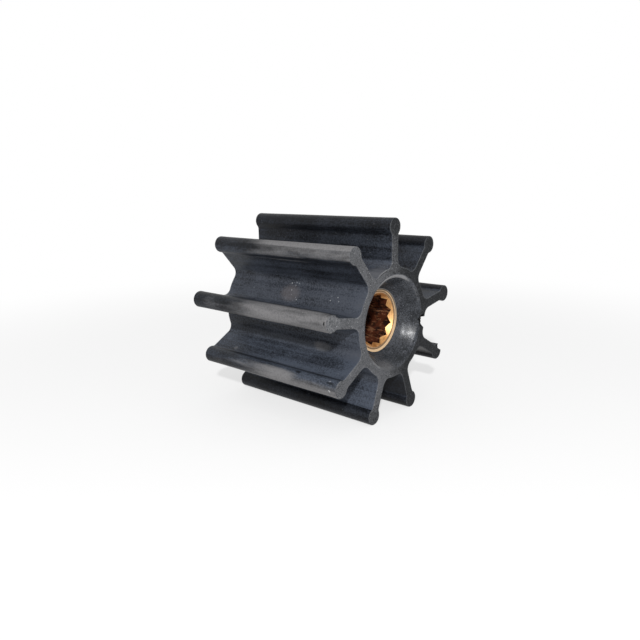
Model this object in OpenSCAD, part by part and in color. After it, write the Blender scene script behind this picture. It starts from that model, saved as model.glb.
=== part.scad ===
// Flexible pump impeller: a moulded rubber wheel of straight radial vanes with
// round beads at their tips, bonded on a brass insert with a V-toothed spline bore.
// The impeller turns about the Y axis, its origin is the middle of its bore, and it
// lies on the beads of its two lowest vanes. Its front end faces -Y.

/* [Vanes] */
// Number of vanes, evenly spaced, with one pointing straight up
vane_count = 9; // [7:2:11]
// Diameter of the circle that the centres of the beads lie on
bead_circle_d = 87; // [80:0.5:100]
// Diameter of the round bead along each vane tip
bead_d = 8; // [6.5:0.1:10]
// Thickness of a vane between the hub and its bead
vane_t = 4.8; // [3.6:0.1:5.6]
// Radius of the hollow where a vane widens into its bead
neck_r = 2; // [1:0.1:4]
// Radius of the fillet between a vane and the hub
root_r = 4; // [2:0.1:5]

/* [Hub] */
// Length of the moulding along its axis
body_l = 87; // [60:0.5:110]
// Diameter of the hub between the vanes
hub_d = 51.4; // [49:0.1:54]

/* [Dishes] */
// Diameter of the conical dish where its wall meets an end face
dish_d = 42.6; // [39:0.1:43.6]
// Depth of each dish, from the end face to the insert
dish_depth = 9; // [4:0.1:14]
// Width of the rubber ledge between the dish wall and the insert
dish_ledge = 0.4; // [0.2:0.1:1.5]
// Radius that rounds the lip of each dish
lip_r = 2.2; // [0.8:0.1:2.6]

/* [Insert] */
// Outer diameter of the brass insert
insert_d = 30; // [29.2:0.1:33]
// Width of the conical rim at each end of the insert
rim_w = 1.2; // [0.6:0.1:1.4]
// Drop of the conical rim towards the end face of the insert
rim_drop = 0.5; // [0.2:0.1:1]
// Width and depth of the turned line at the foot of the conical rim
line_w = 0.3; // [0.2:0.05:0.6]
// Number of grooves around the insert that lock it in the rubber
lock_count = 3; // [1:1:5]
// Width of each locking groove
lock_w = 4; // [2:0.5:6]
// Depth of each locking groove
lock_depth = 0.8; // [0.4:0.1:1.2]

/* [Spline] */
// Number of V-shaped teeth in the bore
tooth_count = 12; // [8:1:16]
// Diameter over the tips of the teeth, which is the free bore
tooth_tip_d = 22; // [20:0.1:22.6]
// Diameter at the bottom of the V-shaped valleys
tooth_root_d = 24.4; // [23.6:0.1:25]
// Diameter of the conical lead-in at the mouth of the bore
lead_in_d = 25.6; // [25.2:0.1:26.4]
// Angle between the lead-in and the axis
lead_in_angle = 38; // [25:1:50]
// Angle that turns the spline against the vanes
spline_turn = 13.5; // [0:0.1:30]

/* [Wear] */
// Radius of the nick in the hub's front edge, where it is larger
nick_r = 2.9; // [2:0.1:3.2]
// How far the middle of the larger side of the nick lies inside the hub's edge
nick_inset = 1.8; // [0.5:0.1:2.2]
// Depth of that side of the nick, from the end face
nick_depth = 2.6; // [1.6:0.1:4]
// How far the nick is torn in where it is smaller
nick_tail_r = 1.2; // [0.8:0.1:2.2]
// Depth of the smaller side of the nick, from the end face
nick_tail_depth = 1.2; // [0.8:0.1:3.4]
// Direction of the nick, from +X towards +Z
nick_angle = -7.5; // [-14:0.5:-2]
// Turn around the hub from the nick's larger side to its smaller side
nick_spread = 4.5; // [2:0.5:6]
// How far the chip in the front end of a bead is torn in from the bead's side
chip_r = 2.2; // [1:0.1:3]
// Depth of the chip, from the end face
chip_depth = 2.6; // [1:0.1:5]
// Number of the vane whose bead is chipped, counted clockwise from the top one
chip_vane = 4; // [1:1:7]

/* [Hidden] */
$fn = 96;

hub_r = hub_d / 2;
bead_circle_r = bead_circle_d / 2;
bead_r = bead_d / 2;
flank_x = vane_t / 2;
vane_pitch = 360 / vane_count;
// Side of the bead that is chipped, from the vane's own direction
chip_side = 68;
// How far blends and cutters run into or past what they join or cut
overlap = 1;
// How far a blend's circle runs into the faces that it joins
graze = 0.02;

insert_r = insert_d / 2;
insert_l = body_l - 2 * dish_depth;
insert_face_r = insert_r - rim_w;
lock_pitch = insert_l / (lock_count + 1);
lead_in_r = lead_in_d / 2;
tooth_tip_r = tooth_tip_d / 2;
tooth_root_r = tooth_root_d / 2;
tooth_pitch = 360 / tooth_count;
lead_in_depth = (lead_in_r - tooth_tip_r) / tan(lead_in_angle);

// Half of the dish's section: its wall runs from the lip down to the ledge
wall_foot_r = insert_r + dish_ledge;
wall_run = dish_d / 2 - wall_foot_r;
wall_tilt = atan2(dish_depth, wall_run);
lip_reach = lip_r * tan(wall_tilt / 2);
lip_face_r = dish_d / 2 + lip_reach;
lip_wall = [dish_d / 2 - lip_reach * cos(wall_tilt), -lip_reach * sin(wall_tilt)];

function polar(r, angle) = [r * cos(angle), r * sin(angle)];

// A four-sided form that spans two heights, less the circle at each of its first corners
module blend(centre, r, far_corner) {
    difference() {
        polygon([
            centre,
            [-centre[0], centre[1]],
            [-far_corner[0], far_corner[1]],
            far_corner
        ]);
        for (side = [-1, 1])
            translate([side * centre[0], centre[1]])
                circle(r = r);
    }
}

// The foot of the vane that points along +Y: it flares into the hub with two fillets
module foot() {
    reach = hub_r + root_r - graze;
    x = flank_x + root_r - graze;
    centre = [x, sqrt(reach * reach - x * x)];
    blend(centre, root_r, centre * (hub_r - overlap) / reach);
}

// The neck of that vane: it widens into the bead with two hollows
module neck() {
    reach = bead_r + neck_r - graze;
    x = flank_x + neck_r - graze;
    drop = sqrt(reach * reach - x * x);
    share = (bead_r - overlap) / reach;
    mirror([0, 1])
        blend([x, drop - bead_circle_r], neck_r, [x * share, drop * share - bead_circle_r]);
}

// One vane's section, pointing along +Y
module vane_section() {
    translate([-flank_x, hub_r - overlap])
        square([vane_t, bead_circle_r - hub_r + overlap]);
    translate([0, bead_circle_r])
        circle(r = bead_r);
    foot();
    neck();
}

// The moulding's section: a round hub and its vanes
module body_section() {
    circle(r = hub_r);
    for (k = [0:vane_count - 1])
        rotate(k * vane_pitch)
            vane_section();
}

// What is hollowed out of one end: a cone with a rounded lip, from the plane z = 0 down
module dish() {
    rotate_extrude()
        difference() {
            polygon([
                [0, overlap],
                [lip_face_r, overlap],
                [lip_face_r, -lip_r],
                lip_wall,
                [wall_foot_r, -dish_depth],
                [0, -dish_depth]
            ]);
            translate([lip_face_r, -lip_r])
                circle(r = lip_r);
        }
}

// The insert's outer form, with its locking grooves, which the rubber fills
module insert_blank() {
    difference() {
        cylinder(r = insert_r, h = insert_l, center = true);
        for (k = [0:lock_count - 1])
            translate([0, 0, (k - (lock_count - 1) / 2) * lock_pitch])
                difference() {
                    cylinder(r = insert_r + overlap, h = lock_w, center = true);
                    cylinder(r = insert_r - lock_depth, h = lock_w, center = true);
                }
    }
}

// The spline's section: a sharp valley at the root radius, then a sharp tooth tip
module spline_section() {
    polygon([
        for (k = [0:tooth_count - 1], half = [0, 1])
            polar(half == 0 ? tooth_root_r : tooth_tip_r,
                  spline_turn + (k + half / 2) * tooth_pitch)
    ]);
}

// What is turned out of one end of the insert: the conical rim, the turned line at
// its foot and the lead-in of the bore, from the plane z = 0 down
module insert_end() {
    rotate_extrude()
        polygon([
            [0, overlap],
            [insert_r, overlap],
            [insert_r, 0],
            [insert_face_r, -rim_drop],
            [insert_face_r - line_w / 2, -rim_drop - line_w],
            [insert_face_r - line_w, -rim_drop],
            [lead_in_r, -rim_drop],
            [tooth_tip_r, -rim_drop - lead_in_depth],
            [0, -rim_drop - lead_in_depth]
        ]);
}

// The same cut at both ends of a piece of the given length
module both_ends(length) {
    for (side = [0, 1])
        mirror([0, 0, side])
            translate([0, 0, length / 2])
                children();
}

// A ragged bite into the front end face, at the given distance and direction from the axis
module bite(distance, angle, r, depth) {
    translate(concat(polar(distance, angle), body_l / 2 - depth))
        rotate(angle)
            cylinder(r = r, h = depth + overlap, $fn = 7);
}

// What is torn off: a nick with two sides in the hub's front edge, and a bead's corner
module damage() {
    bite(hub_r - nick_inset, nick_angle, nick_r, nick_depth);
    bite(hub_r, nick_angle - nick_spread, nick_tail_r, nick_tail_depth);
    rotate(90 - (chip_vane - 1) * vane_pitch)
        translate([bead_circle_r, 0])
            bite(bead_r, chip_side, chip_r, chip_depth);
}

module rubber_body() {
    color([0.17, 0.18, 0.2])
        rotate([90, 0, 0])
            difference() {
                linear_extrude(height = body_l, center = true)
                    body_section();
                both_ends(body_l)
                    dish();
                insert_blank();
                damage();
            }
}

module splined_insert() {
    color([0.83, 0.62, 0.34])
        rotate([90, 0, 0])
            difference() {
                insert_blank();
                linear_extrude(height = insert_l + 2 * overlap, center = true)
                    spline_section();
                both_ends(insert_l)
                    insert_end();
            }
}

rubber_body();
splined_insert();
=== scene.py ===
"""Dresses a flexible pump impeller: a moulded rubber wheel of nine beaded vanes on a splined insert.

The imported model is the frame. Each of its two pieces is made again as a finer surface of the same
form, with rounded edges, torn and worn places and the marks of the mould, and gets finishes built on
shared shader effects. Lengths are metres and angles radians. The wheel turns about Y, its front end
faces -Y and one vane points straight up. A bearing runs from +X towards +Z.
"""

import logging
from dataclasses import dataclass
from enum import Enum, IntEnum
from functools import cached_property
from math import atan2, cos, pi, radians, sin, sqrt, tan
from typing import Any

import bpy
import numpy as np
from bpy.types import Material, Node, NodeSocket, NodeTree, Object, World
from mathutils import Matrix, Vector

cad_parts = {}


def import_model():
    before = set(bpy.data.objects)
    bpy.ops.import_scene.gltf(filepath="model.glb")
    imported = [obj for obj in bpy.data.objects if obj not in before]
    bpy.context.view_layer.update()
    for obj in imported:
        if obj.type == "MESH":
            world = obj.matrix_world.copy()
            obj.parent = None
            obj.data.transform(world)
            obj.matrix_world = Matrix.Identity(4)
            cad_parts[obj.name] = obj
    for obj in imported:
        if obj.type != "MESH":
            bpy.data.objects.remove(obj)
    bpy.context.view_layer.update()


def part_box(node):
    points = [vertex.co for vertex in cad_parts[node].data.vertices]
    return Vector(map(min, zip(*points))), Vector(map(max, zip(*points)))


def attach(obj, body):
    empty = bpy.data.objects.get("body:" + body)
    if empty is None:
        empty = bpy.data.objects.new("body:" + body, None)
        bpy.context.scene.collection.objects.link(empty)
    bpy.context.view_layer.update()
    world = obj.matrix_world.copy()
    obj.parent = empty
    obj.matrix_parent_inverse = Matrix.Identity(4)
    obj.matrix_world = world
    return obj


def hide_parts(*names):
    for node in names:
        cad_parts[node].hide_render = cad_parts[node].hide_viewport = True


MM = 0.001
FULL_TURN = 2 * pi
WELD = 1e-7
ORIGIN = (0.0, 0.0, 0.0)
ACROSS_AXIS = (1.0, 0.0, 1.0)
WHITE = (1.0, 1.0, 1.0, 1.0)

Colour = tuple[float, float, float, float]
Point = tuple[float, float, float]
Array = np.ndarray

log = logging.getLogger("impeller")


def tint(red: int, green: int, blue: int) -> Colour:
    """Turns a screen colour into the linear colour that a shader takes.

    Args:
        red: Its red part, from 0 to 255.
        green: Its green part.
        blue: Its blue part.

    Returns:
        The three linear parts and a full alpha.
    """
    shares = (c / 255 for c in (red, green, blue))
    linear = [s / 12.92 if s <= 0.04045 else ((s + 0.055) / 1.055) ** 2.4 for s in shares]
    return (*linear, 1.0)


def mm(*lengths: float) -> tuple[float, ...]:
    """Turns millimetres into metres."""
    return tuple(length * MM for length in lengths)


def ease(values: Array, low: float, high: float) -> Array:
    """Rises smoothly from 0 at low to 1 at high: t squared times (3 - 2t), with t clipped to that span."""
    t = np.clip((values - low) / (high - low), 0, 1)
    return t * t * (3 - 2 * t)


def ripple(points: Array, wavelength: Point, seed: int, waves: int = 6) -> Array:
    """Gives each point a smooth uneven value, mostly between -1 and 1.

    The value is the mean of plane sine waves, whose directions and phases are drawn from the seed,
    times 1.5.

    Args:
        points: Array of shape (..., 3).
        wavelength: Length of a wave along X, Y and Z.
        seed: Seed of the draw.
        waves: Number of waves.

    Returns:
        Array of shape (...).
    """
    draw = np.random.default_rng(seed)
    directions = draw.normal(size=(waves, 3))
    directions /= np.linalg.norm(directions, axis=1, keepdims=True)
    phases = draw.uniform(0, FULL_TURN, waves)
    turns = (points / np.array(wavelength)) @ directions.T
    return np.sin(turns * FULL_TURN + phases).mean(-1) * 1.5


def swell(points: Array, wavelength: Point, seed: int) -> Array:
    """An uneven depth, mostly from 0 to 1: a half plus half of the ripple, and never below 0."""
    return np.clip(0.5 + 0.5 * ripple(points, wavelength, seed), 0, None)


@dataclass(frozen=True)
class Fade:
    """A span over which something comes in: there is none at its first value, and all at its second."""

    none: float
    full: float

    def at(self, values: Array) -> Array:
        """How much there is at each value, from 0 to 1."""
        return ease(values, self.none, self.full)

    def around(self, middle: float, angles: Array) -> Array:
        """How much there is at each angle, for a span of the cosine of the angle to the middle."""
        return self.at(np.cos(angles - middle))


@dataclass
class Curve:
    """Points of a plane curve, and the direction in which the solid's surface faces at each."""

    points: Array
    normals: Array

    @classmethod
    def arc(cls, centre: tuple[float, float], radius: float, start: float, stop: float, steps: int,
            hollow: bool = False) -> "Curve":
        """A stretch of a circle: centre + radius * (cos a, sin a), with a running evenly over the span.

        Args:
            centre: Centre of the circle.
            radius: Its radius.
            start: First angle.
            stop: Last angle, whose point is left out because the next stretch begins there.
            steps: Number of points.
            hollow: Whether the surface faces the centre.

        Returns:
            The stretch.
        """
        angles = np.linspace(start, stop, steps, endpoint=False)
        outward = np.stack([np.cos(angles), np.sin(angles)], axis=1)
        return cls(np.array(centre) + radius * outward, -outward if hollow else outward)

    @classmethod
    def join(cls, stretches: list["Curve"]) -> "Curve":
        """One curve out of stretches that follow each other."""
        return cls(np.concatenate([s.points for s in stretches]),
                   np.concatenate([s.normals for s in stretches]))

    @property
    def bearing(self) -> Array:
        """Bearing on which each point lies."""
        return np.arctan2(self.points[:, 1], self.points[:, 0])

    @property
    def facing(self) -> Array:
        """Bearing in which the surface faces at each point."""
        return np.arctan2(self.normals[:, 1], self.normals[:, 0])


class WheelSurface(IntEnum):
    """The wheel's surfaces, by the number of their finish."""

    MOULDED = 0
    GROUND = 1
    DISH = 2


class SleeveSurface(IntEnum):
    """The insert's surfaces, by the number of their finish."""

    TURNED = 0
    BROACHED = 1


class Skin:
    """Collects the grids that close round one piece, and welds them into a mesh."""

    def __init__(self) -> None:
        """Starts with no grids."""
        self.points: list[Array] = []
        self.faces: list[Array] = []
        self.finishes: list[Array] = []
        self.masks: dict[str, list[Array]] = {}
        self.count = 0

    def add(self, grid: Array, finish: int, wrap: bool = False, flip: bool = False,
            masks: dict[str, Array] | None = None) -> None:
        """Adds one grid of points.

        Args:
            grid: Array of shape (rows, columns, 3).
            finish: Number of the finish on these faces.
            wrap: Whether the last column joins the first.
            flip: Whether the faces turn the other way.
            masks: Values of shape (rows, columns), by name; a name that is missing counts as 0.
        """
        rows, columns = grid.shape[:2]
        index = self.count + np.arange(rows * columns).reshape(rows, columns)
        if wrap:
            index = np.concatenate([index, index[:, :1]], axis=1)
        near, far = index[:-1], index[1:]
        quads = np.stack([near[:, :-1], near[:, 1:], far[:, 1:], far[:, :-1]], axis=-1).reshape(-1, 4)
        self.faces.append(quads[:, ::-1] if flip else quads)
        self.finishes.append(np.full(len(quads), int(finish)))
        self.points.append(grid.reshape(-1, 3))
        given = masks or {}
        for name in set(self.masks) | set(given):
            if name not in self.masks:
                self.masks[name] = [np.zeros(self.count)]
            values = np.broadcast_to(given.get(name, 0.0), (rows, columns))
            self.masks[name].append(values.reshape(-1))
        self.count += rows * columns

    def piece(self, name: str, finishes: list[Material], sharp_from: float) -> Object:
        """Welds the grids into one closed object at the origin.

        Points that fall on the same place become one, and a four-sided face that loses a side there
        becomes a triangle.

        Args:
            name: Name of the piece.
            finishes: Its materials, in the order of their numbers.
            sharp_from: Angle between two faces from which their edge is sharp.

        Returns:
            The object.
        """
        every = np.concatenate(self.points)
        places = np.round(every / WELD).astype(np.int64)
        _, first, welded = np.unique(places, axis=0, return_index=True, return_inverse=True)
        corners = welded.reshape(-1)[np.concatenate(self.faces)]
        kept = corners != np.roll(corners, -1, axis=1)
        sides = kept.sum(axis=1)
        whole = sides >= 3
        mesh = bpy.data.meshes.new(name)
        mesh.vertices.add(len(first))
        mesh.vertices.foreach_set("co", every[first].astype(np.float32).ravel())
        loops = corners[whole][kept[whole]]
        mesh.loops.add(len(loops))
        mesh.loops.foreach_set("vertex_index", loops.astype(np.int32))
        mesh.polygons.add(int(whole.sum()))
        starts = np.concatenate([[0], np.cumsum(sides[whole])[:-1]])
        mesh.polygons.foreach_set("loop_start", starts.astype(np.int32))
        numbers = np.concatenate(self.finishes)[whole]
        mesh.polygons.foreach_set("material_index", numbers.astype(np.int32))
        for key, values in self.masks.items():
            layer = mesh.attributes.new(key, "FLOAT", "POINT")
            layer.data.foreach_set("value", np.concatenate(values)[first].astype(np.float32))
        mesh.update(calc_edges=True)
        mesh.validate()
        mesh.shade_smooth()
        mesh.set_sharp_from_angle(angle=sharp_from)
        for material in finishes:
            mesh.materials.append(material)
        made = bpy.data.objects.new(name, mesh)
        bpy.context.scene.collection.objects.link(made)
        return made


def emptied(owner: Material | World) -> NodeTree:
    """Clears the node tree of a material or a world.

    Args:
        owner: What the tree belongs to.

    Returns:
        The empty tree.
    """
    owner.use_nodes = True
    owner.node_tree.nodes.clear()
    return owner.node_tree


class Graph:
    """A node tree to which each call adds one node."""

    def __init__(self, tree: NodeTree) -> None:
        """Works on the given tree."""
        self.tree = tree

    def node(self, kind: str, inputs: dict[str | int, Any] | None = None, **settings: Any) -> Node:
        """Adds a node.

        Args:
            kind: Blender's name of the node's type.
            inputs: Sockets or plain values, by the input's name or number.
            **settings: Properties of the node, which are set before its inputs.

        Returns:
            The node.
        """
        made = self.tree.nodes.new(kind)
        for name, value in settings.items():
            setattr(made, name, value)
        for key, value in (inputs or {}).items():
            if isinstance(value, NodeSocket):
                self.tree.links.new(value, made.inputs[key])
            else:
                made.inputs[key].default_value = value
        return made

    def sum(self, operation: str, first: Any, second: Any = 0.0, clamp: bool = False) -> NodeSocket:
        """The result of a Math node."""
        return self.node("ShaderNodeMath", {0: first, 1: second}, operation=operation,
                         use_clamp=clamp).outputs[0]

    def plus(self, first: Any, second: Any, clamp: bool = False) -> NodeSocket:
        """One value added to another."""
        return self.sum("ADD", first, second, clamp)

    def times(self, first: Any, second: Any, clamp: bool = False) -> NodeSocket:
        """One value multiplied by another."""
        return self.sum("MULTIPLY", first, second, clamp)

    def highest(self, values: list[NodeSocket]) -> NodeSocket:
        """Finds the highest of several values.

        Args:
            values: At least one value.

        Returns:
            The highest of them.
        """
        top = values[0]
        for value in values[1:]:
            top = self.sum("MAXIMUM", top, value)
        return top

    def vector(self, operation: str, first: Any, second: Any) -> NodeSocket:
        """The vector that a Vector Math node gives."""
        return self.node("ShaderNodeVectorMath", {0: first, 1: second}, operation=operation).outputs[0]

    def measure(self, operation: str, first: Any, second: Any = ORIGIN) -> NodeSocket:
        """The value that a Vector Math node gives."""
        return self.node("ShaderNodeVectorMath", {0: first, 1: second},
                         operation=operation).outputs["Value"]

    def radius(self, place: NodeSocket) -> NodeSocket:
        """The distance of a place from the Y axis."""
        return self.measure("LENGTH", self.vector("MULTIPLY", place, ACROSS_AXIS))

    def noise(self, vector: NodeSocket, scale: Any, detail: float = 2.0,
              roughness: float = 0.5) -> NodeSocket:
        """The value of a Noise Texture, about 0.5 with most of it between 0.3 and 0.7."""
        inputs = {"Vector": vector, "Scale": scale, "Detail": detail, "Roughness": roughness}
        return self.node("ShaderNodeTexNoise", inputs).outputs["Fac"]

    def span(self, value: NodeSocket, low: Any, high: Any, to_low: Any = 0.0,
             to_high: Any = 1.0) -> NodeSocket:
        """Maps the values from low to high onto those from to_low to to_high, smoothly and clipped."""
        inputs = {"Value": value, "From Min": low, "From Max": high, "To Min": to_low, "To Max": to_high}
        return self.node("ShaderNodeMapRange", inputs, interpolation_type="SMOOTHSTEP").outputs[0]

    def colour(self, share: Any, first: Any, second: Any) -> NodeSocket:
        """Mixes two colours by a share of the second."""
        return self.node("ShaderNodeMix", {0: share, 6: first, 7: second}, data_type="RGBA").outputs[2]

    def between(self, share: Any, first: Any, second: Any) -> NodeSocket:
        """Mixes two values by a share of the second."""
        return self.node("ShaderNodeMix", {0: share, 2: first, 3: second}).outputs[0]

    def place(self) -> NodeSocket:
        """The point's place on the object."""
        return self.node("ShaderNodeTexCoord").outputs["Object"]

    def effect(self, group: NodeTree, inputs: dict[str, Any]) -> Any:
        """The outputs of a shared effect, placed with its own values."""
        return self.node("ShaderNodeGroup", inputs, node_tree=group).outputs


class Effects:
    """The shader groups that the finishes share, each built once, when it is first used."""

    @staticmethod
    def _group(name: str, inputs: dict[str, Any], outputs: list[str]) -> tuple[Graph, Any]:
        """Starts a group.

        Args:
            name: Name of the group.
            inputs: Default of each input by name; three numbers make a vector, one a value.
            outputs: Names of its outputs, which are values.

        Returns:
            The graph of the group, and the sockets that carry its inputs.
        """
        tree = bpy.data.node_groups.new(name, "ShaderNodeTree")
        for key, default in inputs.items():
            kind = "NodeSocketVector" if isinstance(default, tuple) else "NodeSocketFloat"
            tree.interface.new_socket(key, in_out="INPUT", socket_type=kind).default_value = default
        for key in outputs:
            tree.interface.new_socket(key, in_out="OUTPUT", socket_type="NodeSocketFloat")
        return Graph(tree), tree.nodes.new("NodeGroupInput").outputs

    @cached_property
    def grain(self) -> NodeTree:
        """Fine grain, streaks that run along Y, and broad clouds, each as a value about 0.5.

        Returns:
            The group.
        """
        inputs = {"Vector": ORIGIN, "Scale": 1000.0, "Streak Scale": 300.0, "Stretch": 20.0,
                  "Cloud Scale": 60.0}
        graph, given = self._group("moulding_grain", inputs, ["Grain", "Streak", "Cloud"])
        share = graph.sum("DIVIDE", 1.0, given["Stretch"])
        squeeze = graph.node("ShaderNodeCombineXYZ", {0: 1.0, 1: share, 2: 1.0}).outputs[0]
        along = graph.vector("MULTIPLY", given["Vector"], squeeze)
        graph.node("NodeGroupOutput", {
            "Grain": graph.noise(given["Vector"], given["Scale"], 3.0, 0.6),
            "Streak": graph.noise(along, given["Streak Scale"], 4.0, 0.6),
            "Cloud": graph.noise(given["Vector"], given["Cloud Scale"], 3.0, 0.55),
        })
        return graph.tree

    @cached_property
    def rings(self) -> NodeTree:
        """Lines round the Y axis, as a value about 0.5 that changes with the distance from the axis.

        Returns:
            The group.
        """
        inputs = {"Vector": ORIGIN, "Scale": 2000.0, "Wander": 0.0001}
        graph, given = self._group("turned_rings", inputs, ["Ring"])
        drift = graph.times(graph.noise(given["Vector"], 150.0), given["Wander"])
        across = graph.times(graph.plus(graph.radius(given["Vector"]), drift), given["Scale"])
        ring = graph.node("ShaderNodeTexNoise", {"W": across, "Scale": 1.0, "Detail": 2.0, "Roughness": 0.6},
                          noise_dimensions="1D")
        graph.node("NodeGroupOutput", {"Ring": ring.outputs["Fac"]})
        return graph.tree

    @cached_property
    def patches(self) -> NodeTree:
        """Uneven patches of rubbing wear and painted highlights, broken out of a soft mask by a noise.

        Returns:
            The group.
        """
        graph, given = self._group("wear_and_highlight_patches", {"Mask": 0.0, "Noise": 0.5, "Break": 1.0}, ["Mask"])
        push = graph.times(graph.sum("SUBTRACT", given["Noise"], 0.5), given["Break"])
        broken = graph.span(graph.plus(given["Mask"], push), 0.15, 0.75)
        graph.node("NodeGroupOutput", {"Mask": graph.times(broken, graph.span(given["Mask"], 0.0, 0.2))})
        return graph.tree

    @cached_property
    def specks(self) -> NodeTree:
        """Small scattered specks: the middles of a share of the cells of a Voronoi pattern.

        Returns:
            The group.
        """
        inputs = {"Vector": ORIGIN, "Scale": 1500.0, "Share": 0.1, "Size": 0.3}
        graph, given = self._group("specks", inputs, ["Mask"])
        cells = graph.node("ShaderNodeTexVoronoi", {key: given[key] for key in ("Vector", "Scale")}).outputs
        draw = graph.node("ShaderNodeSeparateColor", {0: cells["Color"]}).outputs[0]
        chosen = graph.sum("LESS_THAN", draw, given["Share"])
        near = graph.span(cells["Distance"], given["Size"], 0.0)
        graph.node("NodeGroupOutput", {"Mask": graph.times(chosen, near)})
        return graph.tree

    @cached_property
    def spot(self) -> NodeTree:
        """A soft round spot: whole at its centre, and nothing from its reach along each axis outwards.

        Returns:
            The group.
        """
        inputs = {"Vector": ORIGIN, "Centre": ORIGIN, "Reach": (1.0, 1.0, 1.0)}
        graph, given = self._group("soft_spot", inputs, ["Mask"])
        offset = graph.vector("SUBTRACT", given["Vector"], given["Centre"])
        distance = graph.measure("LENGTH", graph.vector("DIVIDE", offset, given["Reach"]))
        graph.node("NodeGroupOutput", {"Mask": graph.span(distance, 1.0, 0.4)})
        return graph.tree


class Mark(Enum):
    """The kinds of small spot on the rubber: marks, and pale spots of which some are painted pools of light.
    """

    PIT = "pit"
    # Pale spots: some are painted pools of light on shaded rubber.
    PALE = "pale"
    SMUDGE = "smudge"
    SPECKS = "specks"


@dataclass(frozen=True)
class SmallSpot:
    """One small spot on the rubber, a mark or a painted pool of light: its centre, its reach along X, Y and
    Z, and its strength.
    """

    kind: Mark
    centre: Point
    reach: Point
    strength: float = 1.0


@dataclass(frozen=True)
class Tear:
    """A bite torn into the front end, from the side or the edge of what it is in."""

    centre: tuple[float, float]
    reach: float
    depth: float
    raggedness: float = 0.16

    def depth_at(self, x: Array, z: Array) -> Array:
        """Depth torn off at each point of the end.

        The rim is a circle whose radius swings by two sine waves of its bearing; the depth is whole
        inside and falls to nothing over the last fifth.

        Args:
            x: Where the points lie along X.
            z: Where they lie along Z.

        Returns:
            The depths, in the shape of x.
        """
        across, up = x - self.centre[0], z - self.centre[1]
        bearing = np.arctan2(up, across)
        swing = 0.6 * np.sin(5 * bearing + 1) + 0.4 * np.sin(11 * bearing + 2)
        inside = 1 - np.hypot(across, up) / (self.reach * (1 + self.raggedness * swing))
        uneven = 1 - 0.25 * self.raggedness * np.sin(9 * bearing) - 0.3 * (1 - np.clip(inside, 0, 1))
        return self.depth * uneven * ease(inside, 0.0, 0.2)


@dataclass(frozen=True)
class ScuffAndHighlight:
    """A stretch of a bead painted pale, as rubbed wear, and on some as a painted highlight: which vane,
    where its middle faces, and where it runs.

    It fades out over the given length before its stop, and over a third of that after its start.
    """

    vane_bearing: float
    facing: float
    spread: float
    start: float
    stop: float
    fade: float
    strength: float


@dataclass(frozen=True)
class HazeAndLight:
    """A side of one vane painted paler outside a radius, as pale smears and painted light over its shade:
    its bearing and facing, and how pale at each end.
    """

    bearing: float
    facing: float
    inner: float
    back: float
    front: float


@dataclass(frozen=True)
class LipWearAndSheen:
    """A stretch of the dish's lip painted pale, as rubbed wear and a painted highlight: the bearing of its
    middle, its spread and strength.
    """

    bearing: float
    spread: float
    strength: float


@dataclass(frozen=True)
class Grain:
    """How fine a finish is: the scales of its grain, streaks and clouds, and how long its streaks are."""

    scale: float
    streak_scale: float
    stretch: float
    cloud_scale: float


class Paint(Graph):
    """The graph of one finish: its grain, the shared effects, and a base colour laid on in coats."""

    def __init__(self, tree: NodeTree, effects: Effects, grain: Grain) -> None:
        """Starts with the grain, and no colour.

        Args:
            tree: Node tree of the material.
            effects: The shared shader groups.
            grain: How fine the finish is.
        """
        super().__init__(tree)
        self.effects = effects
        self.at = self.place()
        inputs = {"Vector": self.at, "Scale": grain.scale, "Streak Scale": grain.streak_scale,
                  "Stretch": grain.stretch, "Cloud Scale": grain.cloud_scale}
        made = self.effect(effects.grain, inputs)
        self.grain, self.streak, self.cloud = made["Grain"], made["Streak"], made["Cloud"]
        self.base: NodeSocket | None = None

    def ground(self, share: NodeSocket, first: Colour, second: Colour) -> None:
        """Lays the first colour, mixed of two by a share of the second."""
        self.base = self.colour(share, first, second)

    def coat(self, share: NodeSocket, colour: Colour) -> None:
        """Lays a colour over what is there, by its share."""
        self.base = self.colour(share, self.base, colour)

    def mask(self, name: str) -> NodeSocket:
        """The value of a mask that the mesh carries."""
        return self.node("ShaderNodeAttribute", attribute_name=name).outputs["Fac"]

    def bloomed_and_lit(self, uneven: NodeSocket, whole_at: float, least: float) -> NodeSocket:
        """The bloom and painted light made uneven, by the whole amount where they are strong and by the
        least where they are not.
        """
        bloom = self.mask("bloom")
        return self.plus(bloom, self.times(uneven, self.span(bloom, 0.0, whole_at, least, 1.0)), clamp=True)

    def rings(self, scale: float, wander: float) -> NodeSocket:
        """The lines of turning at that scale, which wander by that length."""
        inputs = {"Vector": self.at, "Scale": scale, "Wander": wander}
        return self.effect(self.effects.rings, inputs)["Ring"]

    def patches(self, mask: str, noise: NodeSocket, uneven: float) -> NodeSocket:
        """A mask of the mesh, broken into patches by a noise of that strength."""
        inputs = {"Mask": self.mask(mask), "Noise": noise, "Break": uneven}
        return self.effect(self.effects.patches, inputs)["Mask"]

    def specks(self, scale: float, share: float, size: float) -> NodeSocket:
        """Specks in a share of the cells at that scale."""
        inputs = {"Vector": self.at, "Scale": scale, "Share": share, "Size": size}
        return self.effect(self.effects.specks, inputs)["Mask"]

    def bump(self, height: NodeSocket, strength: float, distance: float) -> NodeSocket:
        """The normal of a surface with that height."""
        inputs = {"Height": height, "Strength": strength, "Distance": distance}
        return self.node("ShaderNodeBump", inputs).outputs[0]


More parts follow.
